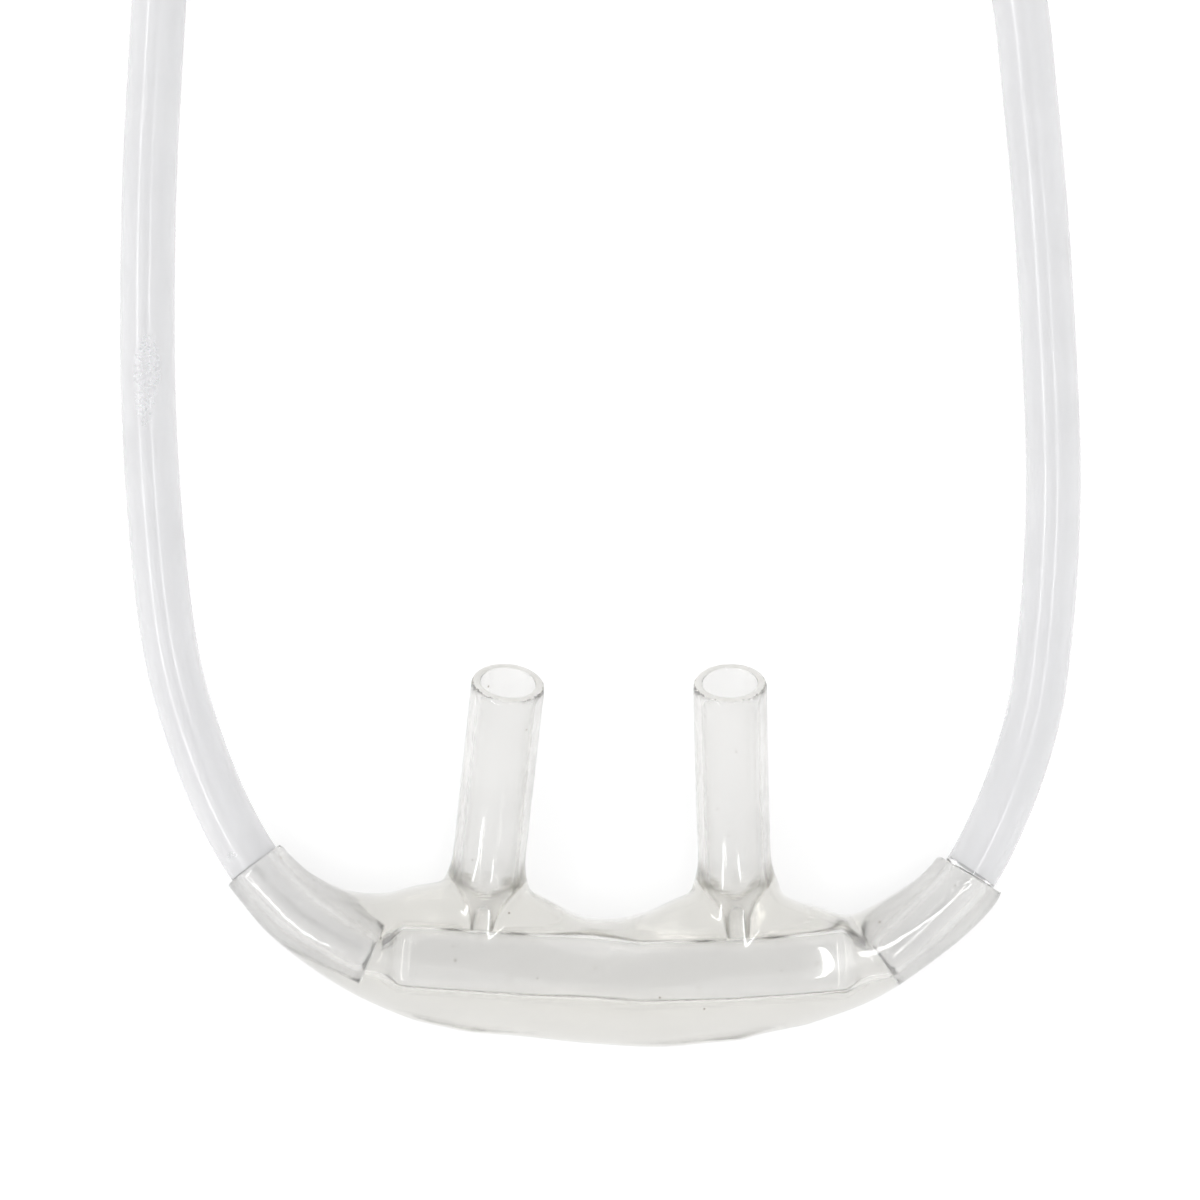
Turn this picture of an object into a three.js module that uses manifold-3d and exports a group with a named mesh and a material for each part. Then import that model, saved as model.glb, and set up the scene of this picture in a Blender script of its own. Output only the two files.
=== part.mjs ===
// Nasal oxygen cannula: a soft moulded nosepiece with two curved prongs, the two ear tubes
// that are pushed into its ends, the slider on the tubes and the Y connector that joins them.
// It lies on a level surface. Millimetres, +X across the face, +Y from the lip to the prongs'
// tips, +Z up. The origin is on the surface, under the middle of the nosepiece.
import * as THREE from 'three';
import { mergeVertices } from 'three/addons/utils/BufferGeometryUtils.js';
import Module from 'manifold-3d';

const wasm = await Module();
wasm.setup();

// Ear tubes
const TUBE_OD = 3.8;
const TUBE_BORE = 2.4;
const TUBE_FIT = 0.15; // all round a tube, in every socket
const TUBE_SIDES = 8;
const LEAD_STEPS = 32;
const TAIL_STEPS = 8;

// Nosepiece
const MOUTH_SPAN = 49.6; // between the middles of its two open ends
const BODY_DEPTH = 8.8; // from the origin to the middle of the body, at its lowest
const BODY_ACROSS = 8.8;
const LEFT_SLEEVE_WALL = 0.32;
const RIGHT_SLEEVE_WALL = 0.55;
const BODY_THICK = 6.8;
const BODY_FLAT = 0.4; // cut from the underside, so that the body lies flat
const LIP_DROP = 0.5; // how far the lip falls away from the body's top, as a share
const CAVITY_THICK = 3.9;
const CAVITY_ACROSS = 4.3;
const PRONG_OD = 5.1;
const PRONG_BORE = 3.75;
const PRONG_RIM = 0.25; // rounding of the tip's edge
const PRONG_FLARE = 0.9; // extra radius where a prong grows out of the body
const PRONG_TIP_Z = 8.7;
const PRONG_TIP_Y = 12.1;
const PRONG_ROOT_Y = -6.5;
const PRONG_BEND_Y = 3.0;
const PRONG_SPACING = { root: 17.9, bend: 16.45, tip: 15.05 };
const PRONG_LEAN = { root: -0.35, bend: -0.08, tip: 0.33 }; // of both, to the right

// Coil of the two tubes, wound side by side
const COIL_CENTRE = [-7.7, 93.5];
const COIL_INNER_R = 19;
const COIL_PITCH = 3.9; // from tube to tube, across the coil and up it
const COIL_TURNS = 2.25;
const COIL_SIDES = 40;

// Slider
const PAIR_X = -28.6;
const PAIR_GAP = 1; // between the two tubes where they run straight
const SLIDER_FROM_Y = 123;
const SLIDER_LENGTH = 9;
const SLIDER_WALL = 1.2;
const SLIDER_FIT = 0.3; // all round the two tubes

// Y connector
const CONNECTOR_FROM_Y = 143;
const CONNECTOR_SOCKET = 7.5;
const CONNECTOR_LENGTH = 22;
const CONNECTOR_WALL = 0.9;
const INLET_OD = 7.6;
const INLET_BORE = 5.2;
const INLET_DEPTH = 8.5;

const CUT_PAST = 1; // how far a cutter runs past the face that it opens
const BORE_SIDES = 20;

const tubeR = TUBE_OD / 2;
const socketR = tubeR + TUBE_FIT;
const leftMouth = 2 * (socketR + LEFT_SLEEVE_WALL);
const rightMouth = 2 * (socketR + RIGHT_SLEEVE_WALL);
const mouthZ = rightMouth / 2;
const bodyZ = BODY_THICK / 2 - BODY_FLAT;
const connectorZ = INLET_OD / 2;
const pairPitch = TUBE_OD + PAIR_GAP;

// Solids

function solid(geometry) {
  geometry.deleteAttribute('normal');
  geometry.deleteAttribute('uv');
  const merged = mergeVertices(geometry, 1e-5);
  return new wasm.Manifold(new wasm.Mesh({
    numProp: 3,
    vertProperties: merged.attributes.position.array,
    triVerts: Uint32Array.from(merged.index.array),
  }));
}

function geometryOf(manifold) {
  const mesh = manifold.getMesh();
  const geometry = new THREE.BufferGeometry();
  geometry.setAttribute('position', new THREE.BufferAttribute(mesh.vertProperties, 3));
  geometry.setIndex(new THREE.BufferAttribute(mesh.triVerts, 1));
  geometry.computeVertexNormals();
  return geometry;
}

// A closed bar whose rings are put in place one by one: place(u, x, z) is the point for (x, z)
// of the unit circle in the ring at u.
function bar(sides, stops, place) {
  const geometry = new THREE.CylinderGeometry(1, 1, 1, sides, stops.length - 1);
  const position = geometry.attributes.position;
  for (let i = 0; i < position.count; i += 1) {
    const ring = Math.round((position.getY(i) + 0.5) * (stops.length - 1));
    const point = place(stops[ring], position.getX(i), position.getZ(i));
    position.setXYZ(i, point.x, point.y, Math.max(point.z, 0));
  }
  return geometry;
}

function evenly(from, to, steps) {
  return Array.from({ length: steps + 1 }, (_, i) => from + ((to - from) * i) / steps);
}

function rounded(value, squareness) {
  return Math.sign(value) * Math.abs(value) ** (2 / squareness);
}

function circle(radius, sides) {
  const shape = new THREE.Shape();
  for (let i = 0; i < sides; i += 1) {
    const turn = (2 * Math.PI * i) / sides;
    const corner = [radius * Math.cos(turn), radius * Math.sin(turn)];
    if (i === 0) shape.moveTo(...corner);
    else shape.lineTo(...corner);
  }
  shape.closePath();
  return shape;
}

function stadium(path, width, height) {
  const r = height / 2;
  const half = width / 2 - r;
  path.moveTo(-half, -r);
  path.lineTo(half, -r);
  path.absarc(half, 0, r, -Math.PI / 2, Math.PI / 2, false);
  path.lineTo(-half, r);
  path.absarc(-half, 0, r, Math.PI / 2, (3 * Math.PI) / 2, false);
  return path;
}

function swept(radius, sides, path, steps) {
  return new THREE.ExtrudeGeometry(circle(radius, sides), {
    steps,
    bevelEnabled: false,
    extrudePath: path,
  });
}

function curve(points) {
  return new THREE.CatmullRomCurve3(points.map((p) => new THREE.Vector3(...p)), false, 'centripetal');
}

// A point on the nosepiece's curve, as shares of half its span and of its depth
function onBody(out, down, z) {
  return [(out * MOUTH_SPAN) / 2, -down * BODY_DEPTH, z];
}

// Routes of the ear tubes, from the end inside the nosepiece to the coil

const LEFT_LEAD = [
  onBody(-0.67, 0.76, 3.1),
  onBody(-0.8, 0.58, 3.0),
  onBody(-0.9, 0.4, 2.8),
  onBody(-1.006, 0.074, mouthZ),
  [-27.4, 3.7, 2.2],
  [-29.55, 9.3, tubeR],
  [-30.9, 14.8, tubeR],
  [-31.75, 22, tubeR],
  [-32.3, 30.5, tubeR],
  [-32.4, 39, tubeR],
  [-32.2, 48.2, tubeR],
  [-31.6, 59.3, tubeR],
  [-31.1, 70, tubeR],
  [-30.8, 79, tubeR],
];
const RIGHT_LEAD = [
  onBody(0.738, 0.807, 3.1),
  onBody(0.877, 0.494, 2.9),
  onBody(0.994, 0.153, mouthZ),
  [27.2, 3.7, 2.2],
  [29.05, 9.3, tubeR],
  [29.9, 14.8, tubeR],
  [30.4, 21.5, tubeR],
  [30.5, 28, tubeR],
  [30.1, 37, tubeR],
  [29.55, 45.5, tubeR],
  [28.9, 52.5, tubeR],
  [28.15, 59.3, tubeR],
  [26.8, 64.9, tubeR],
  [23.4, 69.9, tubeR],
  [18, 73.1, tubeR],
  [12, 74.2, tubeR],
];

// Routes from the coil down to the slider and on into the Y connector
const tailEndY = CONNECTOR_FROM_Y + CONNECTOR_SOCKET - TUBE_FIT;
const outerX = PAIR_X - pairPitch / 2;
const innerX = PAIR_X + pairPitch / 2;
const LEFT_TAIL = [
  [-30.87, 107.1, 8.95],
  [-31, 113.3, 6.6],
  [-31, 117.6, 4.8],
  [outerX, 121.5, connectorZ],
  [outerX, 134, connectorZ],
  [outerX, tailEndY, connectorZ],
];
const RIGHT_TAIL = [
  [-26.4, 112.6, 6.85],
  [-26.3, 116.4, 5.2],
  [-26.2, 119.3, 4.1],
  [innerX, 122, connectorZ],
  [innerX, 134, connectorZ],
  [innerX, tailEndY, connectorZ],
];

// The moulded nosepiece. Each station is a cut across it: its middle, its width across the
// surface that it lies on and its thickness, as shares of the body's, and how far it is from
// round (0) to flat-topped (1). The two open ends are round and fit their tubes.
const STATIONS = [
  { at: onBody(-1.006, 0.074, mouthZ), mouth: leftMouth },
  { at: onBody(-0.976, 0.182, mouthZ), mouth: leftMouth },
  { at: onBody(-0.899, 0.398, 2.75), across: 0.59, thick: 0.78, flat: 0.1 },
  { at: onBody(-0.79, 0.591, 2.9), across: 0.682, thick: 0.853, flat: 0.4 },
  { at: onBody(-0.665, 0.716, bodyZ), across: 0.864, thick: 0.956, flat: 0.9 },
  { at: onBody(-0.532, 0.767, bodyZ), across: 1.09, thick: 1, flat: 1 },
  { at: onBody(-0.351, 0.807, bodyZ), across: 1.216, thick: 1, flat: 1 },
  { at: onBody(-0.145, 0.96, bodyZ), across: 1.01, thick: 1, flat: 1 },
  { at: onBody(0, 1, bodyZ), across: 1, thick: 1, flat: 1 },
  { at: onBody(0.137, 0.972, bodyZ), across: 1.09, thick: 1, flat: 1 },
  { at: onBody(0.335, 0.847, bodyZ), across: 1.23, thick: 1, flat: 1 },
  { at: onBody(0.532, 0.858, bodyZ), across: 0.96, thick: 1, flat: 1 },
  { at: onBody(0.698, 0.795, 2.95), across: 0.69, thick: 0.912, flat: 0.6 },
  { at: onBody(0.877, 0.494, 2.8), across: 0.605, thick: 0.81, flat: 0.1 },
  { at: onBody(0.97, 0.261, mouthZ), mouth: rightMouth },
  { at: onBody(0.994, 0.153, mouthZ), mouth: rightMouth },
];

function bodyOutside() {
  const middles = new THREE.CatmullRomCurve3(STATIONS.map((s) => new THREE.Vector3(...s.at)));
  const sizes = new THREE.CatmullRomCurve3(STATIONS.map((s) => (s.mouth
    ? new THREE.Vector3(s.mouth, s.mouth, 0)
    : new THREE.Vector3(s.across * BODY_ACROSS, s.thick * BODY_THICK, s.flat))));
  return bar(32, evenly(0, 1, 60), (u, x, z) => {
    const middle = middles.getPoint(u);
    const along = middles.getTangent(u).setZ(0).normalize();
    const { x: across, y: thick, z: flat } = sizes.getPoint(u);
    const squareness = 2 + flat;
    const side = rounded(x, squareness);
    const lip = THREE.MathUtils.smoothstep(-side, 0.1, 1) * flat;
    const up = rounded(-z, squareness);
    const rise = up > 0 ? up * (1 - LIP_DROP * lip) : up;
    return new THREE.Vector3(
      middle.x - (along.y * side * across) / 2,
      middle.y + (along.x * side * across) / 2,
      middle.z + (rise * thick) / 2,
    );
  });
}

// The gas space inside, wide and flat, which narrows to the tubes' bore at both ends
const CAVITY = [
  { at: onBody(-0.694, 0.739, 3.1), narrow: true },
  { at: onBody(-0.645, 0.767, bodyZ), narrow: true },
  { at: onBody(-0.589, 0.79, bodyZ), wide: 1 },
  { at: onBody(-0.403, 0.818, bodyZ), wide: 1.05 },
  { at: onBody(0.073, 0.92, bodyZ), wide: 0.98 },
  { at: onBody(0.325, 0.886, bodyZ), wide: 1.02 },
  { at: onBody(0.637, 0.83, bodyZ), wide: 0.95 },
  { at: onBody(0.702, 0.813, bodyZ), narrow: true },
  { at: onBody(0.758, 0.784, 3.1), narrow: true },
];

function cavity() {
  const last = CAVITY.length - 1;
  return bar(16, evenly(0, last, last), (u, x, z) => {
    const here = CAVITY[u];
    const before = CAVITY[Math.max(u - 1, 0)].at;
    const after = CAVITY[Math.min(u + 1, last)].at;
    const along = new THREE.Vector2(after[0] - before[0], after[1] - before[1]).normalize();
    const squareness = here.narrow ? 2 : 4;
    const across = here.narrow ? TUBE_BORE : here.wide * CAVITY_ACROSS;
    const thick = here.narrow ? TUBE_BORE : CAVITY_THICK;
    const side = (rounded(x, squareness) * across) / 2;
    const up = (rounded(-z, squareness) * thick) / 2;
    return new THREE.Vector3(here.at[0] - along.y * side, here.at[1] + along.x * side, here.at[2] + up);
  });
}

function prongAxis(hand) {
  const x = (place) => PRONG_LEAN[place] + (hand * PRONG_SPACING[place]) / 2;
  return new THREE.QuadraticBezierCurve3(
    new THREE.Vector3(x('root'), PRONG_ROOT_Y, bodyZ),
    new THREE.Vector3(x('bend'), PRONG_BEND_Y, bodyZ + 0.15),
    new THREE.Vector3(x('tip'), PRONG_TIP_Y, PRONG_TIP_Z),
  );
}

function alongProng(axis, sides, stops, radiusAt) {
  return bar(sides, stops, (u, x, z) => {
    const along = axis.getTangent(u);
    const across = new THREE.Vector3().crossVectors(along, new THREE.Vector3(0, 0, 1)).normalize();
    const away = new THREE.Vector3().crossVectors(across, along);
    const radius = radiusAt(u);
    return axis.getPoint(u)
      .addScaledVector(across, x * radius)
      .addScaledVector(away, z * radius);
  });
}

function prongOutside(axis) {
  const length = axis.getLength();
  const stops = [...evenly(0, 0.96, 16), 1 - (0.4 * PRONG_RIM) / length, 1];
  return alongProng(axis, 24, stops, (u) => {
    const flare = PRONG_FLARE * (1 - THREE.MathUtils.smoothstep(u, 0.13, 0.36));
    return PRONG_OD / 2 + flare - (u === 1 ? PRONG_RIM : 0);
  });
}

function prongInside(axis) {
  const past = 1 + CUT_PAST / axis.getLength();
  return alongProng(axis, BORE_SIDES, evenly(0, past, 14), () => PRONG_BORE / 2);
}

// A socket is cut along the tube's own route, from just past the tube's end to the open mouth.
function socket(route) {
  const [end, next] = route.slice(0, 2).map((p) => new THREE.Vector3(...p));
  const floor = end.clone().addScaledVector(next.clone().sub(end).normalize(), -TUBE_FIT);
  return solid(swept(socketR, BORE_SIDES, curve([floor.toArray(), ...route.slice(1, 6)]), 24));
}

function nosepiece() {
  const axes = [-1, 1].map(prongAxis);
  let body = solid(bodyOutside());
  for (const axis of axes) body = body.add(solid(prongOutside(axis)));
  body = body.subtract(solid(cavity()));
  for (const axis of axes) body = body.subtract(solid(prongInside(axis)));
  for (const route of [LEFT_LEAD, RIGHT_LEAD]) body = body.subtract(socket(route));
  return geometryOf(body);
}

// One closed ring stands for the coil's turns, which fill it.
function coil() {
  const inside = COIL_INNER_R - tubeR;
  const outside = COIL_INNER_R + COIL_PITCH + tubeR;
  const height = COIL_TURNS * COIL_PITCH + TUBE_OD;
  const edge = tubeR * 0.4;
  const profile = [
    [inside + edge, 0],
    [outside - edge, 0],
    [outside, edge],
    [outside, height - edge],
    [outside - edge, height],
    [inside + edge, height],
    [inside, height - edge],
    [inside, edge],
    [inside + edge, 0],
  ].map(([r, z]) => new THREE.Vector2(r, z));
  const ring = new THREE.LatheGeometry(profile, COIL_SIDES);
  ring.rotateX(Math.PI / 2);
  return ring;
}

// The slider is a flat collar round both tubes.
function slider() {
  const holeWidth = pairPitch + TUBE_OD + 2 * SLIDER_FIT;
  const holeHeight = TUBE_OD + 2 * SLIDER_FIT;
  const section = stadium(new THREE.Shape(), holeWidth + 2 * SLIDER_WALL, holeHeight + 2 * SLIDER_WALL);
  section.holes.push(stadium(new THREE.Path(), holeWidth, holeHeight));
  const collar = new THREE.ExtrudeGeometry(section, {
    depth: SLIDER_LENGTH,
    bevelEnabled: false,
    curveSegments: 8,
  });
  collar.rotateX(-Math.PI / 2);
  return collar;
}

// The Y connector is flat where the ear tubes go in, side by side, and round at its inlet.
function yConnector() {
  const socketAcross = pairPitch + 2 * (socketR + CONNECTOR_WALL);
  const socketThick = 2 * (socketR + CONNECTOR_WALL);
  const narrowFrom = CONNECTOR_SOCKET / CONNECTOR_LENGTH;
  const narrowTo = 1 - INLET_DEPTH / CONNECTOR_LENGTH;
  const outside = bar(28, evenly(0, 1, 16), (u, x, z) => {
    const round = THREE.MathUtils.smoothstep(u, narrowFrom, narrowTo);
    const across = THREE.MathUtils.lerp(socketAcross, INLET_OD, round);
    const thick = THREE.MathUtils.lerp(socketThick, INLET_OD, round);
    const flat = 3 - round;
    return new THREE.Vector3(
      PAIR_X - (rounded(x, flat) * across) / 2,
      CONNECTOR_FROM_Y + u * CONNECTOR_LENGTH,
      connectorZ - (rounded(z, flat) * thick) / 2,
    );
  });
  const inletY = CONNECTOR_FROM_Y + CONNECTOR_LENGTH;
  const inletFloor = inletY - INLET_DEPTH;
  const straight = (x, from, to) => [
    [x, from, connectorZ],
    [x, (from + to) / 2, connectorZ],
    [x, to, connectorZ],
  ];
  let body = solid(outside);
  const inlet = straight(PAIR_X, inletFloor, inletY + CUT_PAST);
  body = body.subtract(solid(swept(INLET_BORE / 2, BORE_SIDES, curve(inlet), 2)));
  for (const x of [outerX, innerX]) {
    const socketEnd = CONNECTOR_FROM_Y + CONNECTOR_SOCKET;
    const mouth = straight(x, CONNECTOR_FROM_Y - CUT_PAST, socketEnd);
    const passage = [
      [x, socketEnd - TUBE_FIT, connectorZ],
      [(x + PAIR_X) / 2, (socketEnd + inletFloor) / 2, connectorZ],
      [PAIR_X + (x - PAIR_X) * 0.4, inletFloor + TUBE_FIT, connectorZ],
    ];
    body = body.subtract(solid(swept(socketR, BORE_SIDES, curve(mouth), 2)));
    body = body.subtract(solid(swept(TUBE_BORE / 2, 12, curve(passage), 6)));
  }
  return geometryOf(body);
}

// Materials

const softPvc = { color: 0xe9e9e4, roughness: 0.25, metalness: 0, transparent: true, opacity: 0.6 };
const tubePvc = { color: 0xe4e5ea, roughness: 0.2, metalness: 0, transparent: true, opacity: 0.5 };
const hardPvc = { color: 0xe2e8ee, roughness: 0.12, metalness: 0, transparent: true, opacity: 0.6 };

const cannula = new THREE.Group();

function piece(name, geometry, finish) {
  const mesh = new THREE.Mesh(geometry, new THREE.MeshStandardMaterial(finish));
  mesh.name = name;
  cannula.add(mesh);
  return mesh;
}

piece('nosepiece', nosepiece(), softPvc);
piece('ear_tube_left', swept(tubeR, TUBE_SIDES, curve(LEFT_LEAD), LEAD_STEPS), tubePvc);
piece('ear_tube_right', swept(tubeR, TUBE_SIDES, curve(RIGHT_LEAD), LEAD_STEPS), tubePvc);
piece('ear_tube_coil', coil(), tubePvc).position.set(...COIL_CENTRE, 0);
piece('ear_tube_left_end', swept(tubeR, TUBE_SIDES, curve(LEFT_TAIL), TAIL_STEPS), tubePvc);
piece('ear_tube_right_end', swept(tubeR, TUBE_SIDES, curve(RIGHT_TAIL), TAIL_STEPS), tubePvc);
const collar = piece('slider', slider(), hardPvc);
collar.position.set(PAIR_X, SLIDER_FROM_Y, connectorZ);
piece('y_connector', yConnector(), hardPvc);

export default cannula;
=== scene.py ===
import math

import bpy
import numpy as np
from mathutils import Matrix, Vector


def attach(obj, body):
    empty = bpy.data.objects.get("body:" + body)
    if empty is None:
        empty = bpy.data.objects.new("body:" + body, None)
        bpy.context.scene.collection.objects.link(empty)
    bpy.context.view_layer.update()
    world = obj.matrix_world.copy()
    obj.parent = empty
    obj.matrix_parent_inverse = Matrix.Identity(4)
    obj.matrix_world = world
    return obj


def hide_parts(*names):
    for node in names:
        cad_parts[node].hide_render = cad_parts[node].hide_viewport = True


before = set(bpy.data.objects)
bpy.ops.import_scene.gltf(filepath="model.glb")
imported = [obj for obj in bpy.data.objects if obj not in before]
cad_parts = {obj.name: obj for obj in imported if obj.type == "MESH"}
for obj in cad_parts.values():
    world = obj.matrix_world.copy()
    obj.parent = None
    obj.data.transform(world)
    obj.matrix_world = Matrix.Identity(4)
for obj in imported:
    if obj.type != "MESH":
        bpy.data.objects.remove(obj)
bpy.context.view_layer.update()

MM = 0.001
scene = bpy.context.scene


# Camera. It looks straight down on the cannula with a long lens, as the photograph does: the
# nosepiece lies in the lower half of the square picture and the ear tubes leave at the top.
PICTURE_PX = 1200
PX_PER_MM = 14.4
ORIGIN_PX = (614, 853.5)
LENS = 135
SENSOR = 36
SEEN_AT_Z = 1.9
NEAREST_M = 0.01
FARTHEST_M = 20

camera = bpy.data.objects.new("camera", bpy.data.cameras.new("camera"))
scene.collection.objects.link(camera)
camera.data.lens = LENS
camera.data.sensor_width = SENSOR
camera.data.clip_start = NEAREST_M
camera.data.clip_end = FARTHEST_M
camera_x = (PICTURE_PX / 2 - ORIGIN_PX[0]) / PX_PER_MM
camera_y = (ORIGIN_PX[1] - PICTURE_PX / 2) / PX_PER_MM
camera_height = SEEN_AT_Z + PICTURE_PX / PX_PER_MM * LENS / SENSOR
camera.location = Vector((camera_x, camera_y, camera_height)) * MM
scene.camera = camera


# Surface of soft PVC. Flow and draw lines run along each piece as fine ridges, with hair-fine
# scratches between them. The plastic is hazier in some places, and a few dark specks are in it.
WIDE_RIDGES = {"Scale": 0.7, "Detail": 2, "Roughness": 0.5}
WIDE_SHARE = 0.7
FINE_RIDGES = {"Scale": 3.2, "Detail": 1, "Roughness": 0.4}
FINE_SHARE = 0.3
HAZE = {"Scale": 0.22, "Detail": 3, "Roughness": 0.55}
HAZE_LIMITS = (0.35, 0.68)
SPECKS_PER_MM = 0.5
SPECK_EDGE = (0.03, 0.05)
SCRATCHES = {"Scale": 11, "Detail": 2, "Roughness": 0.7}
SCRATCH_LIMITS = (0.6, 0.75)


def add(tree, kind, inputs=None, **settings):
    """A shader node. Its inputs are given by name or number, as values or as sockets to link."""
    made = tree.nodes.new("ShaderNode" + kind)
    for name, value in settings.items():
        setattr(made, name, value)
    for name, value in (inputs or {}).items():
        if isinstance(value, bpy.types.NodeSocket):
            tree.links.new(value, made.inputs[name])
        else:
            made.inputs[name].default_value = value
    return made


def ramp(tree, value, low, high, to_low=0.0, to_high=1.0):
    """A value taken smoothly from one range to another and held at its ends."""
    limits = {"Value": value, "From Min": low, "From Max": high, "To Min": to_low, "To Max": to_high}
    return add(tree, "MapRange", limits, interpolation_type="SMOOTHSTEP").outputs["Result"]


def noise(tree, place, settings):
    return add(tree, "TexNoise", {"Vector": place, **settings}).outputs[0]


def product(tree, one, other):
    return add(tree, "Math", {0: one, 1: other}, operation="MULTIPLY").outputs[0]


def total(tree, one, other):
    return add(tree, "Math", {0: one, 1: other}, operation="ADD").outputs[0]


def feed(tree, sockets, values):
    """Links each value to the socket of its name."""
    for name, value in values.items():
        tree.links.new(value, sockets[name])


pvc_surface = bpy.data.node_groups.new("pvc_surface", "ShaderNodeTree")
for name in ("Place", "Grain"):
    pvc_surface.interface.new_socket(name, in_out="INPUT", socket_type="NodeSocketVector")
for name in ("Ridges", "Haze", "Speck", "Scratch"):
    pvc_surface.interface.new_socket(name, in_out="OUTPUT", socket_type="NodeSocketFloat")
given = pvc_surface.nodes.new("NodeGroupInput").outputs
wide = product(pvc_surface, noise(pvc_surface, given["Grain"], WIDE_RIDGES), WIDE_SHARE)
fine = product(pvc_surface, noise(pvc_surface, given["Grain"], FINE_RIDGES), FINE_SHARE)
cloud = noise(pvc_surface, given["Place"], HAZE)
dots = add(pvc_surface, "TexVoronoi", {"Vector": given["Place"], "Scale": SPECKS_PER_MM})
hair = noise(pvc_surface, given["Grain"], SCRATCHES)
pvc_looks = {
    "Ridges": total(pvc_surface, wide, fine),
    "Haze": ramp(pvc_surface, cloud, *HAZE_LIMITS),
    "Speck": ramp(pvc_surface, dots.outputs["Distance"], *SPECK_EDGE, 1, 0),
    "Scratch": ramp(pvc_surface, hair, *SCRATCH_LIMITS),
}
feed(pvc_surface, pvc_surface.nodes.new("NodeGroupOutput").inputs, pvc_looks)


# Ear tubes. Clear soft PVC tubing, extruded in one length each. It is pushed into the nosepiece
# at one end and into the Y connector at the other, and the spare length is wound in a flat coil.
TUBE_R = 1.9
TUBE_BORE_R = 1.2
TUBE_AROUND = 52
TUBE_STEP = 0.8
MOUTH_Z = 2.6
FITTING_Z = 3.8
COIL_CENTRE = (-7.7, 93.5)
COIL_INNER_R = 19
COIL_PITCH = 3.9
COIL_TURNS = 2.25
COIL_POINTS = 24
OUTER_COIL_FROM_TURN = 0.25
ROUTE_POINTS_BETWEEN = 12

PVC_IOR = 1.45
COAT_ROUGHNESS = 0.05
TUBE_TRANSMISSION = 0.5
TUBE_COAT = 0.3
TUBE_COLOUR = (0.972, 0.972, 0.982, 1)
TUBE_HAZY_COLOUR = (0.95, 0.95, 0.96, 1)
TUBE_GRAIN = (1, 1, 0.006)
# Roughness where clear and where hazy, and what a scratch adds. Then a bump's strength and depth.
TUBE_ROUGHNESS = (0.17, 0.26, 0.01)
TUBE_BUMP = (0.35, 0.00004)
BONDED_COLOUR = (1, 1, 1, 1)
BONDED_HAZY_COLOUR = (0.98, 0.98, 0.985, 1)
BONDED_ROUGHNESS = (0.05, 0.1)
RIDGE_LIMITS = (0.3, 0.7)
# Each mark's middle, how it is drawn out, and its reach. Handling has dulled and dented the tube.
SCUFF = ((-32.3, 33, 3.4), (1, 0.28, 0.8), 1.1)
CRINKLE = ((-26.1, 0.1, 3.4), (0.9, 1.2, 0.8), 0.9)
SCUFF_CORE = 0.4
SCUFF_ROUGHNESS = 0.3
GRIT = {"Scale": 2.2, "Detail": 3, "Roughness": 0.8}
GRIT_LIMITS = (0.46, 0.6)
GRIT_DEPTH = 1.5
TEETH_PITCH = 24
TEETH_DEPTH = 0.3

LEFT_MOUTH = (-24.95, -0.65, MOUTH_Z)
RIGHT_MOUTH = (24.65, -1.35, MOUTH_Z)
LEFT_LEAD = [
    (-16.6, -6.7, 3.1),
    (-19.85, -5.1, 3.0),
    (-22.3, -3.5, 2.8),
    LEFT_MOUTH,
    (-27.4, 3.7, 2.2),
    (-29.55, 9.3, TUBE_R),
    (-30.9, 14.8, TUBE_R),
    (-31.75, 22, TUBE_R),
    (-32.3, 30.5, TUBE_R),
    (-32.4, 39, TUBE_R),
    (-32.2, 48.2, TUBE_R),
    (-31.6, 59.3, TUBE_R),
    (-31.1, 70, TUBE_R),
    (-30.8, 79, 2.1),
]
RIGHT_LEAD = [
    (18.3, -7.1, 3.1),
    (21.75, -4.35, 2.9),
    RIGHT_MOUTH,
    (27.2, 3.7, 2.2),
    (29.05, 9.3, TUBE_R),
    (29.9, 14.8, TUBE_R),
    (30.4, 21.5, TUBE_R),
    (30.5, 28, TUBE_R),
    (30.1, 37, TUBE_R),
    (29.55, 45.5, TUBE_R),
    (28.9, 52.5, TUBE_R),
    (28.15, 59.3, TUBE_R),
    (26.8, 64.9, TUBE_R),
    (23.4, 69.9, TUBE_R),
    (18, 73.1, TUBE_R),
    (12, 74.2, TUBE_R),
]
LEFT_TAIL = [
    (-30.75, 101, 10.25),
    (-30.87, 107.1, 8.95),
    (-31, 113.3, 6.6),
    (-31, 117.6, 4.8),
    (-31, 121.5, FITTING_Z),
    (-31, 134, FITTING_Z),
    (-31, 150.3, FITTING_Z),
]
RIGHT_TAIL = [
    (-26.6, 101, 10.45),
    (-26.5, 107.3, 8.95),
    (-26.4, 112.6, 6.85),
    (-26.3, 116.4, 5.2),
    (-26.2, 119.3, 4.1),
    (-26.2, 122, FITTING_Z),
    (-26.2, 134, FITTING_Z),
    (-26.2, 150.3, FITTING_Z),
]


def coiled(radius, first_turn):
    """Turns to the left, seen from above, counted from the side nearest the nosepiece."""
    points = []
    for step in range(round((COIL_TURNS - first_turn) * COIL_POINTS) + 1):
        turn = first_turn + step / COIL_POINTS
        angle = 2 * math.pi * turn
        x = COIL_CENTRE[0] - radius * math.sin(angle)
        y = COIL_CENTRE[1] - radius * math.cos(angle)
        points.append((x, y, TUBE_R + COIL_PITCH * turn))
    return points


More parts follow.
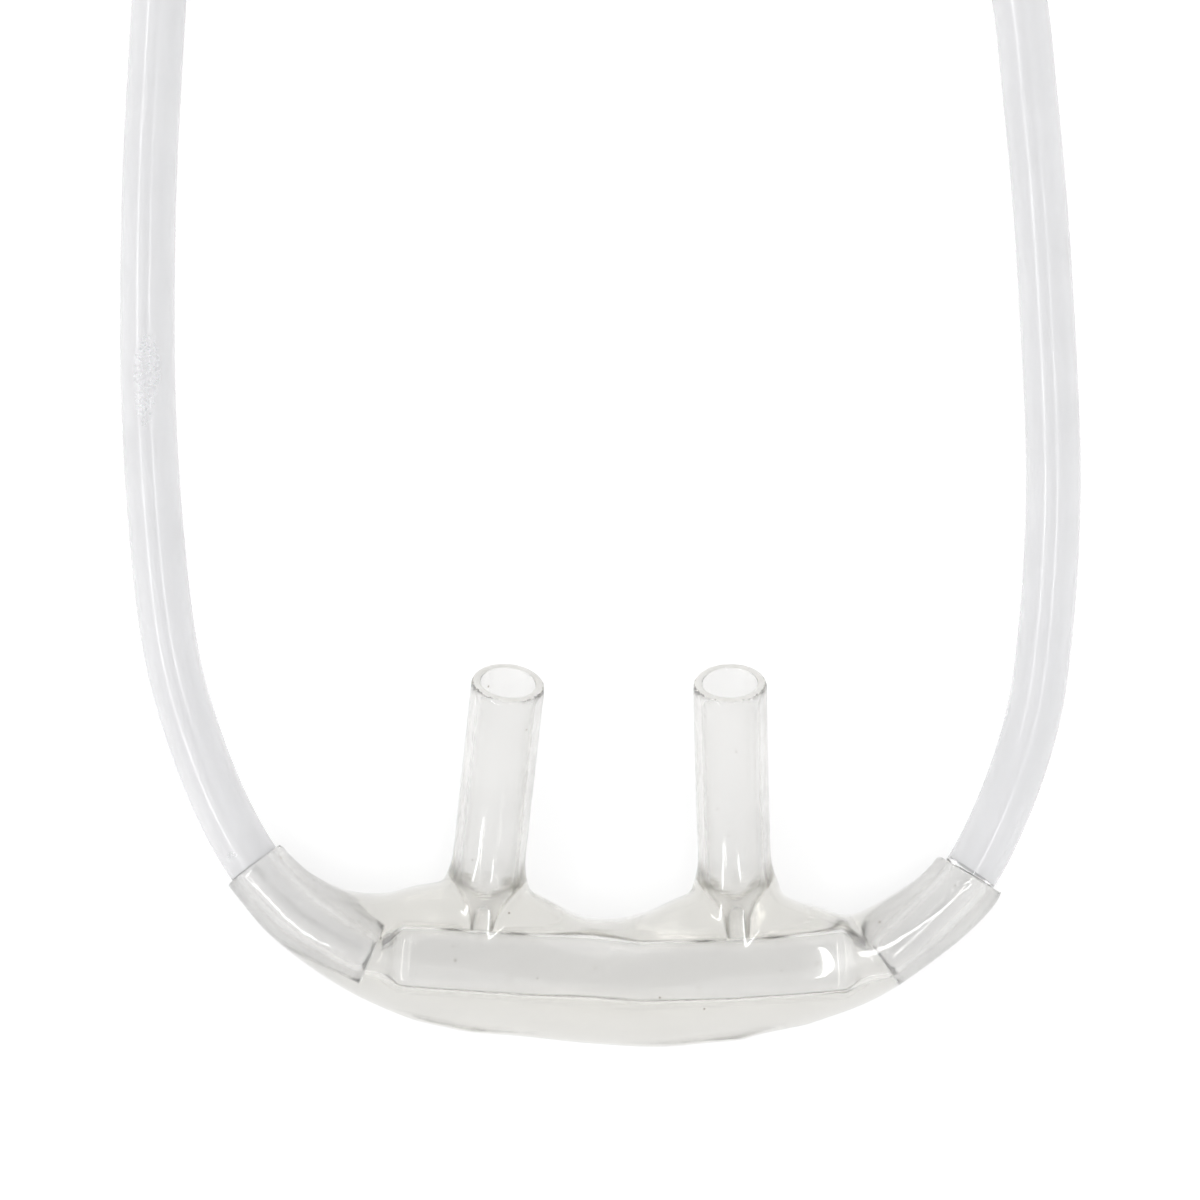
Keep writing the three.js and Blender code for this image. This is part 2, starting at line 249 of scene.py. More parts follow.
def through(rows, between):
    """Rows of numbers on a smooth curve through the given rows, so many for each stretch."""
    rows = np.array(rows, float)
    ends = np.vstack([2 * rows[0] - rows[1], rows, 2 * rows[-1] - rows[-2]])
    t = np.arange(between)[:, None] / between
    stretches = [
        0.5 * (2 * b + (c - a) * t + (2 * a - 5 * b + 4 * c - d) * t**2 + (3 * b - a - 3 * c + d) * t**3)
        for a, b, c, d in zip(ends, ends[1:], ends[2:], ends[3:])
    ]
    return np.vstack([*stretches, rows[-1:]])


def length_of(line):
    return np.linalg.norm(np.diff(line, axis=0), axis=1).sum()


def evenly_spaced(line, step):
    reach = np.concatenate([[0], np.cumsum(np.linalg.norm(np.diff(line, axis=0), axis=1))])
    stops = np.linspace(0, reach[-1], max(2, round(reach[-1] / step)) + 1)
    return np.column_stack([np.interp(stops, reach, line[:, k]) for k in range(3)])


def angles(count):
    return np.arange(count) * 2 * math.pi / count


def rings(line, radii, around):
    """A ring of points round each point of the line, turned so that the rings don't twist."""
    along = np.gradient(line, axis=0)
    along /= np.linalg.norm(along, axis=1)[:, None]
    side = np.cross(along[0], (0, 0, 1))
    sides = []
    for direction in along:
        side = side - direction * side.dot(direction)
        side /= np.linalg.norm(side)
        sides.append(side)
    sides = np.array(sides)
    ups = np.cross(sides, along)
    cosine, sine = np.cos(angles(around)), np.sin(angles(around))
    outward = cosine[None, :, None] * sides[:, None] + sine[None, :, None] * ups[:, None]
    return line[:, None] + np.broadcast_to(radii, len(line))[:, None, None] * outward


def skin(name, rows, closed=False):
    """A mesh over rows of points in millimetres. Closed, it goes round; else each end has a cap."""
    count, around = rows.shape[:2]
    vertices = rows.reshape(-1, 3)
    k = np.arange(around)
    n = (k + 1) % around
    faces = []
    for row in range(count if closed else count - 1):
        this, after = row * around, (row + 1) % count * around
        faces += np.column_stack([this + k, this + n, after + n, after + k]).tolist()
    if not closed:
        vertices = np.vstack([vertices, rows[0].mean(0), rows[-1].mean(0)])
        first, last = len(vertices) - 2, len(vertices) - 1
        top = (count - 1) * around
        faces += np.column_stack([np.full(around, first), n, k]).tolist()
        faces += np.column_stack([np.full(around, last), top + k, top + n]).tolist()
    corners = vertices[np.array([face[:3] for face in faces])]
    if np.einsum("ij,ij->", corners[:, 0], np.cross(corners[:, 1], corners[:, 2])) < 0:
        faces = [face[::-1] for face in faces]
    mesh = bpy.data.meshes.new(name)
    mesh.from_pydata((vertices * MM).tolist(), [], faces)
    mesh.update()
    mesh.shade_smooth()
    piece = bpy.data.objects.new(name, mesh)
    scene.collection.objects.link(piece)
    return piece


def plastic(name, transmission, ior, coat):
    """A material, its node tree, its shader's sockets and the places on the piece in millimetres."""
    material = bpy.data.materials.new(name)
    material.use_nodes = True
    tree = material.node_tree
    sockets = tree.nodes["Principled BSDF"].inputs
    sockets["Transmission Weight"].default_value = transmission
    sockets["IOR"].default_value = ior
    sockets["Coat Weight"].default_value = coat
    sockets["Coat Roughness"].default_value = COAT_ROUGHNESS
    metres = add(tree, "TexCoord").outputs["Object"]
    place = add(tree, "VectorMath", {0: metres, "Scale": 1 / MM}, operation="SCALE").outputs[0]
    return material, tree, sockets, place


def stretched(tree, place, shares):
    return add(tree, "VectorMath", {0: place, 1: shares}, operation="MULTIPLY").outputs[0]


def pvc_at(tree, place, grain):
    """What the soft PVC's surface shows at each place, with the grain given lengthwise."""
    return add(tree, "Group", {"Place": place, "Grain": grain}, node_tree=pvc_surface).outputs


def mixed(tree, mask, one, other):
    inputs = {"Factor": mask, 6: one, 7: other}
    return add(tree, "Mix", inputs, data_type="RGBA").outputs[2]


def bumped(tree, height, strength, distance):
    return add(tree, "Bump", {"Height": height, "Strength": strength, "Distance": distance}).outputs[0]


def rough(tree, pvc, clear, hazy, scratched):
    """Roughness from clear to hazy plastic, with more of it where the surface is scratched."""
    return total(tree, ramp(tree, pvc["Haze"], 0, 1, clear, hazy), product(tree, pvc["Scratch"], scratched))


tube_pvc, tree, sockets, place = plastic("clear_tube_pvc", TUBE_TRANSMISSION, PVC_IOR, TUBE_COAT)
lengthwise = add(tree, "Attribute", attribute_name="lengthwise").outputs["Vector"]
pvc = pvc_at(tree, place, stretched(tree, lengthwise, TUBE_GRAIN))
scuffed = []
for centre, shares, reach in (SCUFF, CRINKLE):
    offset = add(tree, "VectorMath", {0: place, 1: centre}, operation="SUBTRACT").outputs[0]
    distance = add(tree, "VectorMath", {0: stretched(tree, offset, shares)}, operation="LENGTH")
    scuffed.append(ramp(tree, distance.outputs["Value"], reach * SCUFF_CORE, reach, 1, 0))
grit = noise(tree, place, GRIT)
along = add(tree, "SeparateXYZ", {0: lengthwise}).outputs["Z"]
teeth = add(tree, "Math", {0: product(tree, along, TEETH_PITCH)}, operation="SINE").outputs[0]
scuff = product(tree, total(tree, *scuffed), ramp(tree, grit, *GRIT_LIMITS))
dents = total(tree, product(tree, teeth, TEETH_DEPTH), product(tree, grit, GRIT_DEPTH))
height = total(tree, pvc["Ridges"], product(tree, scuff, dents))
tube_looks = {
    "Normal": bumped(tree, height, *TUBE_BUMP),
    "Base Color": mixed(tree, pvc["Haze"], TUBE_COLOUR, TUBE_HAZY_COLOUR),
    "Roughness": total(tree, rough(tree, pvc, *TUBE_ROUGHNESS), product(tree, scuff, SCUFF_ROUGHNESS)),
}
feed(tree, sockets, tube_looks)

# Where a tube is bonded into the nosepiece, its surface has run together with the sleeve's.
bonded_pvc, tree, sockets, place = plastic("bonded_tube_pvc", 1, PVC_IOR, 0)
pvc = pvc_at(tree, place, place)
bonded_looks = {
    "Base Color": mixed(tree, pvc["Haze"], BONDED_COLOUR, BONDED_HAZY_COLOUR),
    "Roughness": ramp(tree, pvc["Ridges"], *RIDGE_LIMITS, *BONDED_ROUGHNESS),
}
feed(tree, sockets, bonded_looks)

ear_tubes = {
    "left": (LEFT_MOUTH, LEFT_LEAD + coiled(COIL_INNER_R + COIL_PITCH, OUTER_COIL_FROM_TURN) + LEFT_TAIL),
    "right": (RIGHT_MOUTH, RIGHT_LEAD + coiled(COIL_INNER_R, 0) + RIGHT_TAIL),
}
tube_lines = {}
for hand, (mouth, route) in ear_tubes.items():
    line = evenly_spaced(through(route, ROUTE_POINTS_BETWEEN), TUBE_STEP)
    tube_lines[hand] = line
    wall = np.concatenate([rings(line, TUBE_R, TUBE_AROUND), rings(line, TUBE_BORE_R, TUBE_AROUND)[::-1]])
    tube = skin(f"ear_tubing_{hand}", wall, closed=True)

    # The grain follows the tube: across it by the ring's points, along it by the way from its end.
    across = np.column_stack([TUBE_R * np.cos(angles(TUBE_AROUND)), TUBE_R * np.sin(angles(TUBE_AROUND))])
    way = np.arange(len(line)) * length_of(line) / (len(line) - 1)
    way = np.concatenate([way, way[::-1]])
    grain = np.concatenate([np.tile(across, (len(way), 1)), np.repeat(way, TUBE_AROUND)[:, None]], axis=1)
    attribute = tube.data.attributes.new("lengthwise", "FLOAT_VECTOR", "POINT")
    attribute.data.foreach_set("vector", grain.ravel())

    tube.data.materials.append(tube_pvc)
    tube.data.materials.append(bonded_pvc)
    bonded = np.linalg.norm(line - mouth, axis=1).argmin()
    ring = np.arange(len(tube.data.polygons)) // TUBE_AROUND
    in_sleeve = (ring < bonded) | (ring >= 2 * len(line) - bonded - 1)
    tube.data.polygons.foreach_set("material_index", in_sleeve.astype(int))
    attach(tube, "cannula")
    coil = ["ear_tube_coil"] if hand == "left" else []
    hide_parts(f"ear_tube_{hand}", f"ear_tube_{hand}_end", *coil)


# Nosepiece. One moulding of soft, slightly milky PVC: a curved hollow bar with a thick lip in
# front, two prongs that bend up out of it, and a sleeve at each end for an ear tube.
LEFT_END = 4.74
RIGHT_END = 5.2
BODY_Z = 3.0
UNDERSIDE_Z = 0.05
LIP_DROP = 0.5
LIP_FROM = 0.1
BODY = [
    # x, y, z, across, thick, flat-topped
    (-24.95, -0.65, MOUTH_Z, LEFT_END, LEFT_END, 0),
    (-24.2, -1.6, MOUTH_Z, LEFT_END, LEFT_END, 0),
    (-22.3, -3.5, 2.75, 5.2, 5.3, 0.1),
    (-19.6, -5.2, 2.9, 6.0, 5.8, 0.4),
    (-16.5, -6.3, BODY_Z, 7.6, 6.5, 0.9),
    (-13.2, -6.75, BODY_Z, 9.6, 6.8, 1),
    (-8.7, -7.1, BODY_Z, 10.7, 6.8, 1),
    (-3.6, -8.45, BODY_Z, 8.9, 6.8, 1),
    (0, -8.8, BODY_Z, 8.8, 6.8, 1),
    (3.4, -8.55, BODY_Z, 9.6, 6.8, 1),
    (8.3, -7.45, BODY_Z, 10.8, 6.8, 1),
    (13.2, -7.55, BODY_Z, 8.45, 6.8, 1),
    (17.3, -7.0, 2.95, 6.1, 6.2, 0.6),
    (21.75, -4.35, 2.8, 5.3, 5.5, 0.1),
    (24.05, -2.3, MOUTH_Z, RIGHT_END, RIGHT_END, 0),
    (24.65, -1.35, MOUTH_Z, RIGHT_END, RIGHT_END, 0),
]
CAVITY = [
    # x, y, z, across, thick, squareness
    (-17.2, -6.5, 3.1, 2.4, 2.4, 2),
    (-16, -6.75, BODY_Z, 2.4, 2.4, 2),
    (-14.6, -6.85, BODY_Z, 4.1, 3.9, 5),
    (-10, -7.1, BODY_Z, 4.3, 3.9, 5),
    (1.8, -8.0, BODY_Z, 4.0, 3.9, 5),
    (8.05, -7.7, BODY_Z, 4.2, 3.9, 5),
    (15.8, -7.2, BODY_Z, 3.9, 3.9, 5),
    (17.4, -7.05, BODY_Z, 2.4, 2.4, 2),
    (18.8, -6.8, 3.1, 2.4, 2.4, 2),
]
PRONGS = {
    "left": ((-9.3, -6.5), (-8.305, 3.0), (-7.195, 12.1)),
    "right": ((8.6, -6.5), (8.145, 3.0), (7.855, 12.1)),
}
PRONG_R = 2.55
PRONG_FLARE = 0.9
PRONG_FLARE_STOPS = (0.13, 0.34)
PRONG_BORE_R = 1.875
PRONG_BORE_ROOT_R = 0.65
PRONG_BORE_STOPS = (0.1, 0.25)
PRONG_BORE_PAST_TIP = 1.04
PRONG_BEND_RISE = 0.15
PRONG_TIP_Z = 8.7
PRONG_RIM = 0.28
PRONG_WALL_TO_STOP = 0.97
PRONG_RIM_FROM_STOP = 0.975
PRONG_RIM_STOPS = 8
SOCKET_GAP = -0.02
SOCKET_POINTS = 18
SOCKET_LEAD = 0.1
BELOW = ((-40, -20), (40, -20), (40, 20), (-40, 20))
BELOW_Z = -5

BAR_AROUND = 72
CAVITY_AROUND = 56
PRONG_AROUND = 56
BORE_AROUND = 48
BAR_POINTS_BETWEEN = 16
CAVITY_STEP = 0.8
VOXEL = 0.165
SMOOTHINGS = 22
SHARP_FROM = math.radians(40)

NOSEPIECE_TRANSMISSION = 0.93
NOSEPIECE_COLOUR = (0.988, 0.986, 0.983, 1)
NOSEPIECE_HAZY_COLOUR = (0.97, 0.968, 0.965, 1)
NOSEPIECE_DEPTH_COLOUR = (0.77, 0.75, 0.67, 1)
NOSEPIECE_DEPTH_DENSITY = 100
NOSEPIECE_ROUGHNESS = (0.13, 0.21, 0.02)
NOSEPIECE_BUMP = (0.25, 0.0001)
BAR_GRAIN = (0.05, 0.9, 0.9)
PRONG_GRAIN = (1.2, 0.06, 0.8)
PRONG_GRAIN_Y = (-3.5, -1)
RIM_COAT = 0.4
# The prong rims' opaque grey-cream colours are painted shade, standing in for light carried along the clear
# wall.
RIM_PAINTED_SHADE_COLOUR = (0.8, 0.79, 0.765, 1)
RIM_HAZY_PAINTED_SHADE_COLOUR = (0.72, 0.71, 0.68, 1)
RIM_HAZE_LIMITS = (0.35, 0.65)
RIM_ROUGHNESS = (0.3, 0.42)
SPECK_COLOUR = (0.3, 0.25, 0.2, 1)


def smoothstep(value, low, high):
    t = np.clip((value - low) / (high - low), 0, 1)
    return t * t * (3 - 2 * t)


def section(stations, squareness, around):
    """Rings round a line of stations, and how far each point lies to the side and up, as shares."""
    middle = stations[:, :3]
    along = np.gradient(middle[:, :2], axis=0)
    along /= np.linalg.norm(along, axis=1)[:, None]
    turn = angles(around)[None]
    side, up = (np.sign(w) * np.abs(w) ** (2 / squareness[:, None]) for w in (np.cos(turn), np.sin(turn)))
    return middle, along, side, up


def laid(stations, middle, along, side, up):
    """The points of those rings, with each station's own width and thickness."""
    side = side * stations[:, 3][:, None] / 2
    up = up * stations[:, 4][:, None] / 2
    points = np.zeros((*side.shape, 3))
    points[..., 0] = middle[:, 0][:, None] - along[:, 1][:, None] * side
    points[..., 1] = middle[:, 1][:, None] + along[:, 0][:, None] * side
    points[..., 2] = middle[:, 2][:, None] + up
    return points


def prong_line(places, stops):
    """Points on a prong's middle line, which bends from its root in the bar to its tip."""
    (root, bend, tip), t = places, np.asarray(stops)[:, None]
    root, bend = np.array((*root, BODY_Z)), np.array((*bend, BODY_Z + PRONG_BEND_RISE))
    return (1 - t) ** 2 * root + 2 * t * (1 - t) * bend + t**2 * np.array((*tip, PRONG_TIP_Z))


def prong_stops(count):
    """Stops along a prong, close together near its tip, where its rim is rounded."""
    wall = np.linspace(0, PRONG_WALL_TO_STOP, count)
    return np.concatenate([wall, np.linspace(PRONG_RIM_FROM_STOP, 1, PRONG_RIM_STOPS)])


def rim(places, stops):
    """How far the rounded rim draws in the wall at each stop, from the outside or the bore."""
    short_of_tip = (1 - stops) * length_of(prong_line(places, np.linspace(0, 1, 50)))
    within = np.clip(PRONG_RIM - short_of_tip, 0, PRONG_RIM)
    return PRONG_RIM - np.sqrt(PRONG_RIM**2 - within**2)


def bake(piece):
    """Turns what the piece's modifiers make into its mesh."""
    mesh = bpy.data.meshes.new_from_object(piece.evaluated_get(bpy.context.evaluated_depsgraph_get()))
    piece.modifiers.clear()
    piece.data = mesh


def carve(piece, other, operation="DIFFERENCE"):
    """Takes the other piece away from this one, or joins them, and clears the other."""
    boolean = piece.modifiers.new("boolean", "BOOLEAN")
    boolean.operation = operation
    boolean.solver = "MANIFOLD"
    boolean.object = other
    bake(piece)
    bpy.data.objects.remove(other)


def finish(piece, *materials):
    """Smooth shading between the sharp edges, and the moulding's own materials."""
    piece.data.shade_smooth()
    piece.data.set_sharp_from_angle(angle=SHARP_FROM)
    piece.data.materials.clear()
    for material in materials:
        piece.data.materials.append(material)


stations = through(BODY, BAR_POINTS_BETWEEN)
flat = stations[:, 5]
middle, along, side, up = section(stations, 2 + flat, BAR_AROUND)
lip = smoothstep(-side, LIP_FROM, 1) * flat[:, None]
up = np.where(up > 0, up * (1 - LIP_DROP * lip), up)
nosepiece = skin("moulded_nosepiece", laid(stations, middle, along, side, up))
for hand, places in PRONGS.items():
    stops = prong_stops(count=60)
    radii = PRONG_R + PRONG_FLARE * (1 - smoothstep(stops, *PRONG_FLARE_STOPS)) - rim(places, stops)
    prong = skin(f"prong_{hand}", rings(prong_line(places, stops), radii, PRONG_AROUND))
    carve(nosepiece, prong, "UNION")
remesh = nosepiece.modifiers.new("remesh", "REMESH")
remesh.mode = "VOXEL"
remesh.voxel_size = VOXEL * MM
smooth = nosepiece.modifiers.new("smooth", "SMOOTH")
smooth.iterations = SMOOTHINGS
bake(nosepiece)

# What is under the flat underside comes off, then the gas space, bores and sockets are hollowed.
below = np.array([[[x, y, z] for x, y in BELOW] for z in (BELOW_Z, UNDERSIDE_Z)])
carve(nosepiece, skin("below", below))
stations = np.array(CAVITY, float)
steps = [stations[:1]]
for a, b in zip(stations, stations[1:]):
    share = np.arange(1, 1 + max(1, round(np.linalg.norm(b[:3] - a[:3]) / CAVITY_STEP)))[:, None]
    steps.append(a + (b - a) * share / len(share))
stations = np.vstack(steps)
hollow = laid(stations, *section(stations, stations[:, 5], CAVITY_AROUND))
carve(nosepiece, skin("cavity", hollow))
for hand, places in PRONGS.items():
    stops = np.append(prong_stops(count=70), PRONG_BORE_PAST_TIP)
    radii = PRONG_BORE_ROOT_R + (PRONG_BORE_R - PRONG_BORE_ROOT_R) * smoothstep(stops, *PRONG_BORE_STOPS)
    radii += rim(places, np.minimum(stops, 1))
    carve(nosepiece, skin(f"bore_{hand}", rings(prong_line(places, stops), radii, BORE_AROUND)))
for hand in ("left", "right"):
    line = tube_lines[hand][:SOCKET_POINTS]
    line = np.vstack([line[0] - (line[1] - line[0]) * SOCKET_LEAD, line])
    carve(nosepiece, skin(f"socket_{hand}", rings(line, TUBE_R + SOCKET_GAP, BORE_AROUND)))

# The plastic takes up a little light over its depth, which gives thick places a cream tint.
soft_pvc, tree, sockets, place = plastic("soft_pvc", NOSEPIECE_TRANSMISSION, PVC_IOR, 1)
in_prong = ramp(tree, add(tree, "SeparateXYZ", {0: place}).outputs["Y"], *PRONG_GRAIN_Y)
grains = {4: stretched(tree, place, BAR_GRAIN), 5: stretched(tree, place, PRONG_GRAIN)}
grain = add(tree, "Mix", {"Factor": in_prong, **grains}, data_type="VECTOR").outputs[1]
pvc = pvc_at(tree, place, grain)
milk = mixed(tree, pvc["Haze"], NOSEPIECE_COLOUR, NOSEPIECE_HAZY_COLOUR)
nosepiece_looks = {
    "Normal": bumped(tree, pvc["Ridges"], *NOSEPIECE_BUMP),
    "Base Color": mixed(tree, pvc["Speck"], milk, SPECK_COLOUR),
    "Roughness": rough(tree, pvc, *NOSEPIECE_ROUGHNESS),
}
feed(tree, sockets, nosepiece_looks)
depth = {"Color": NOSEPIECE_DEPTH_COLOUR, "Density": NOSEPIECE_DEPTH_DENSITY}
inside = add(tree, "VolumeAbsorption", depth).outputs[0]
feed(tree, tree.nodes["Material Output"].inputs, {"Volume": inside})

# The prongs' cut rims are duller than the rest and let no light through. Their opaque grey-cream
# is painted shade: it stands in for the light and shade the clear wall carries to its cut end.
painted_rim_pvc, tree, sockets, place = plastic("prong_rim_painted_shade", 0, PVC_IOR, RIM_COAT)
pvc = pvc_at(tree, place, place)
painted_rim_looks = {
    "Base Color": mixed(tree, ramp(tree, pvc["Ridges"], *RIM_HAZE_LIMITS), RIM_PAINTED_SHADE_COLOUR, RIM_HAZY_PAINTED_SHADE_COLOUR),
    "Roughness": ramp(tree, pvc["Ridges"], *RIDGE_LIMITS, *RIM_ROUGHNESS),
}
feed(tree, sockets, painted_rim_looks)

finish(nosepiece, soft_pvc, painted_rim_pvc)
centres = np.array([face.center for face in nosepiece.data.polygons]) / MM
# The faces at each prong's tip take the rim material with its painted shade.
cut = np.zeros(len(centres), int)
for places in PRONGS.values():
    before, tip = prong_line(places, [0.98, 1])
    outward = (tip - before) / np.linalg.norm(tip - before)
    near = np.linalg.norm(centres - tip, axis=1) < 2 * PRONG_R
    cut[near & ((tip - centres) @ outward < PRONG_RIM / 2)] = 1
nosepiece.data.polygons.foreach_set("material_index", cut)
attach(nosepiece, "cannula")
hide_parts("nosepiece")


# Slider. A flat collar of clear firm PVC round both ear tubes, moulded in one piece, that is
# pushed along them to draw the loop close. Its rims and the mouth of its hole are rounded.
PAIR_X = -28.6
PAIR_PITCH = 4.8
SLIDER_FROM_Y = 123
SLIDER_LENGTH = 9
SLIDER_WALL = 1.2
SLIDER_FIT = 0.3
SLIDER_RIM = 0.5
SLIDER_MOUTH = 0.3
GRIP_DEPTH = 0.22
GRIP_RIBS = 4
GRIP_FADE = (4.2, 3.4)
GRIP_RIM_DRAW = 0.05
CUT_PAST = 1
PILL_AROUND = 96
HOLE_AROUND = 80
FLAT_SLOPE = 6
RIM_STEPS = 7
FITTING_TRANSMISSION = 0.85
FITTING_IOR = 1.5
FITTING_COAT = 0.7
FITTING_COLOUR = (0.9, 0.92, 0.935, 1)
FITTING_HAZY_COLOUR = (0.86, 0.88, 0.9, 1)
FITTING_ROUGHNESS = (0.06, 0.12, 0.06)
FITTING_GRAIN = (1.2, 0.4, 1.2)
FITTING_BUMP = (0.5, 0.00006)


def pill_rings(stops_y, half_across, half_thick, around):
    """Rings along Y round both tubes: two half circles with a flat top and underside between."""
    cosine, sine = np.cos(angles(around))[None], np.sin(angles(around))[None]
    reach = np.broadcast_to(half_across - half_thick, len(stops_y))[:, None]
    thick = np.broadcast_to(half_thick, len(stops_y))[:, None]
    flat = reach * np.minimum(1, np.abs(cosine) * FLAT_SLOPE)
    points = np.zeros((len(stops_y), around, 3))
    points[..., 0] = PAIR_X + np.sign(cosine) * (flat + thick * np.abs(cosine))
    points[..., 1] = np.asarray(stops_y)[:, None]
    points[..., 2] = FITTING_Z + thick * sine
    return points


def rounded_ends(start, end, radius, count):
    """Stops from start to end, close together in the two rounded ends, and how far each draws in."""
    turn = np.linspace(0, math.pi / 2, RIM_STEPS)
    ends = radius * (1 - np.cos(turn))
    draw = radius * (1 - np.sin(turn))
    inner = np.linspace(start + radius, end - radius, count)[1:-1]
    stops = np.concatenate([start + ends, inner, (end - ends)[::-1]])
    return stops, np.concatenate([draw, 0 * inner, draw[::-1]])


fitting_pvc, tree, sockets, place = plastic("fitting_pvc", FITTING_TRANSMISSION, FITTING_IOR, FITTING_COAT)
pvc = pvc_at(tree, place, stretched(tree, place, FITTING_GRAIN))
milk = mixed(tree, pvc["Haze"], FITTING_COLOUR, FITTING_HAZY_COLOUR)
fitting_looks = {
    "Normal": bumped(tree, pvc["Ridges"], *FITTING_BUMP),
    "Base Color": mixed(tree, pvc["Speck"], milk, SPECK_COLOUR),
    "Roughness": rough(tree, pvc, *FITTING_ROUGHNESS),
}
feed(tree, sockets, fitting_looks)

hole_half = TUBE_R + SLIDER_FIT
half = hole_half + SLIDER_WALL
slider_end = SLIDER_FROM_Y + SLIDER_LENGTH
stops, draw = rounded_ends(SLIDER_FROM_Y, slider_end, SLIDER_RIM, count=60)
grip = GRIP_DEPTH * (0.5 - 0.5 * np.cos((stops - SLIDER_FROM_Y) / SLIDER_LENGTH * 2 * math.pi * GRIP_RIBS))
grip *= smoothstep(draw, GRIP_RIM_DRAW, 0)
grip *= smoothstep(np.abs(stops - slider_end + SLIDER_LENGTH / 2), *GRIP_FADE)
draw = draw + grip
collar = skin("moulded_slider", pill_rings(stops, PAIR_PITCH / 2 + half - draw, half - draw, PILL_AROUND))
stops, draw = rounded_ends(SLIDER_FROM_Y, slider_end, SLIDER_MOUTH, count=6)
stops = np.concatenate([[SLIDER_FROM_Y - CUT_PAST], stops, [slider_end + CUT_PAST]])
draw = np.concatenate([draw[:1], draw, draw[-1:]])
hole = pill_rings(stops, PAIR_PITCH / 2 + hole_half + draw, hole_half + draw, HOLE_AROUND)
carve(collar, skin("hole", hole))
finish(collar, fitting_pvc)
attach(collar, "slider")
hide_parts("slider")


# Y connector. One moulding of clear firm PVC, flat where the two ear tubes are bonded in side by
# side and round at its inlet, where the supply tube is pushed in. The bores meet inside it.
CONNECTOR_FROM_Y = 143
CONNECTOR_SOCKET = 7.5
CONNECTOR_LENGTH = 22
CONNECTOR_FIT = 0.15
CONNECTOR_WALL = 0.9
CONNECTOR_RIM = 0.3
INLET_R = 3.8
INLET_BORE_R = 2.6
INLET_DEPTH = 8.5
INLET_AROUND = 56
PASSAGE_LEAD = 0.1
PASSAGE_BENDS = (2, 1.5)
PASSAGE_AROUND = 36
PASSAGE_POINTS_BETWEEN = 6

inlet_y = CONNECTOR_FROM_Y + CONNECTOR_LENGTH
stops, draw = rounded_ends(CONNECTOR_FROM_Y, inlet_y, CONNECTOR_RIM, count=70)
along = (stops - CONNECTOR_FROM_Y) / CONNECTOR_LENGTH
narrow = smoothstep(along, CONNECTOR_SOCKET / CONNECTOR_LENGTH, 1 - INLET_DEPTH / CONNECTOR_LENGTH)
socket_half = TUBE_R + CONNECTOR_FIT + CONNECTOR_WALL
thick = socket_half + (INLET_R - socket_half) * narrow - draw
across = PAIR_PITCH / 2 + socket_half + (INLET_R - PAIR_PITCH / 2 - socket_half) * narrow - draw
connector = skin("moulded_y_connector", pill_rings(stops, across, thick, PILL_AROUND))
inlet_floor = inlet_y - INLET_DEPTH
stops, draw = rounded_ends(inlet_floor, inlet_y, CONNECTOR_RIM, count=8)
draw = np.where(stops > inlet_floor + INLET_DEPTH / 2, draw, 0)
stops, draw = np.append(stops, inlet_y + CUT_PAST), np.append(draw, draw[-1])
inlet = np.column_stack([np.full(len(stops), PAIR_X), stops, np.full(len(stops), FITTING_Z)])
carve(connector, skin("inlet", rings(inlet, INLET_BORE_R + draw, INLET_AROUND)))
socket_end = CONNECTOR_FROM_Y + CONNECTOR_SOCKET
for sideways in (-PAIR_PITCH / 2, PAIR_PITCH / 2):
    socket_ys = np.linspace(CONNECTOR_FROM_Y - CUT_PAST, socket_end, 6)
    socket = [(PAIR_X + sideways, y, FITTING_Z) for y in socket_ys]
    carve(connector, skin("socket", rings(np.array(socket), TUBE_R + SOCKET_GAP, BORE_AROUND)))
    passage = [
        (socket_end - PASSAGE_LEAD, 1),
        (socket_end + PASSAGE_BENDS[0], 0.9),
        (inlet_floor - PASSAGE_BENDS[1], 0.5),
        (inlet_floor + PASSAGE_LEAD, 0.4),
    ]
    passage = [(PAIR_X + sideways * share, y, FITTING_Z) for y, share in passage]
    passage = through(passage, PASSAGE_POINTS_BETWEEN)
    carve(connector, skin("passage", rings(passage, TUBE_BORE_R, PASSAGE_AROUND)))
finish(connector, fitting_pvc)
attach(connector, "cannula")
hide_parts("y_connector")


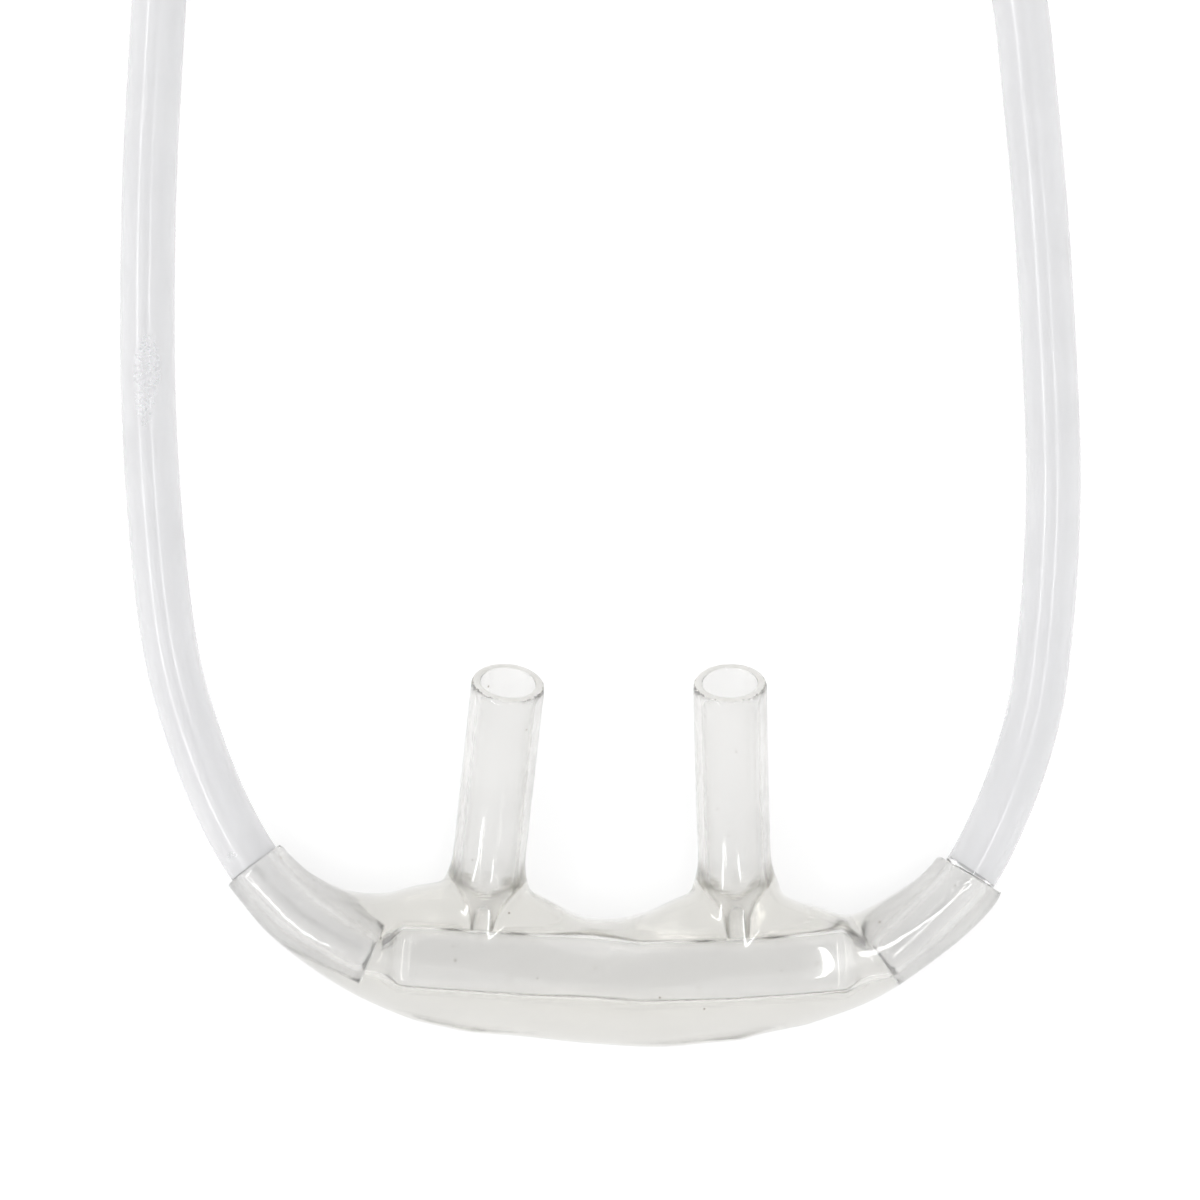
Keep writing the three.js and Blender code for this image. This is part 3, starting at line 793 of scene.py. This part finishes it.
# Floor and light. A white table that glows a little from below, under a white light tent that
# is darker straight above, where the camera looks in. A long soft lamp on the left and a weaker
# one above draw bright lines along the tubes.
FLOOR_HALF = 3
TABLE_COLOUR = (0.36, 0.36, 0.36, 1)
TABLE_GLOW = 0.72
TABLE_ROUGHNESS = 0.9
TENT_COLOUR = (1, 1, 1, 1)
TENT_STRENGTH = 0.92
CAMERA_HOLE_COLOUR = (0.3, 0.3, 0.3, 1)
CAMERA_HOLE_EDGE = (0.955, 0.985)
LAMPS = (
    # name, place, length and width, watts
    ("lamp_left", (-0.86, -0.2, 1.1), (1.2, 0.08), 3.5),
    ("lamp_above", (0.3, -0.25, 1.3), (0.9, 0.06), 2),
)

corners = [(-1, -1), (1, -1), (1, 1), (-1, 1)]
table = bpy.data.meshes.new("floor")
table.from_pydata([(x * FLOOR_HALF, y * FLOOR_HALF, 0) for x, y in corners], [], [(0, 1, 2, 3)])
floor = bpy.data.objects.new("floor", table)
scene.collection.objects.link(floor)
glowing = bpy.data.materials.new("glowing_table")
glowing.use_nodes = True
sockets = glowing.node_tree.nodes["Principled BSDF"].inputs
sockets["Base Color"].default_value = TABLE_COLOUR
sockets["Emission Color"].default_value = (1, 1, 1, 1)
sockets["Emission Strength"].default_value = TABLE_GLOW
sockets["Roughness"].default_value = TABLE_ROUGHNESS
sockets["Specular IOR Level"].default_value = 0
table.materials.append(glowing)

tent = bpy.data.worlds.new("light_tent")
scene.world = tent
tent.use_nodes = True
tree = tent.node_tree
upward = add(tree, "SeparateXYZ", {0: add(tree, "TexCoord").outputs["Generated"]}).outputs["Z"]
tent_light = mixed(tree, ramp(tree, upward, *CAMERA_HOLE_EDGE), TENT_COLOUR, CAMERA_HOLE_COLOUR)
sockets = tree.nodes["Background"].inputs
feed(tree, sockets, {"Color": tent_light})
sockets["Strength"].default_value = TENT_STRENGTH
for name, place, size, power in LAMPS:
    lamp = bpy.data.objects.new(name, bpy.data.lights.new(name, "AREA"))
    scene.collection.objects.link(lamp)
    lamp.data.shape = "RECTANGLE"
    lamp.data.size, lamp.data.size_y = size
    lamp.data.energy = power
    lamp.location = place
    away = lamp.location.normalized()
    lengthways = (Vector((0, 1, 0)) - away * away.y).normalized()
    lamp.rotation_euler = Matrix((lengthways, away.cross(lengthways), away)).transposed().to_euler()
scene.view_settings.view_transform = "Standard"
scene.cycles.max_bounces = 28
scene.cycles.transmission_bounces = 28
scene.cycles.glossy_bounces = 20
scene.cycles.diffuse_bounces = 8
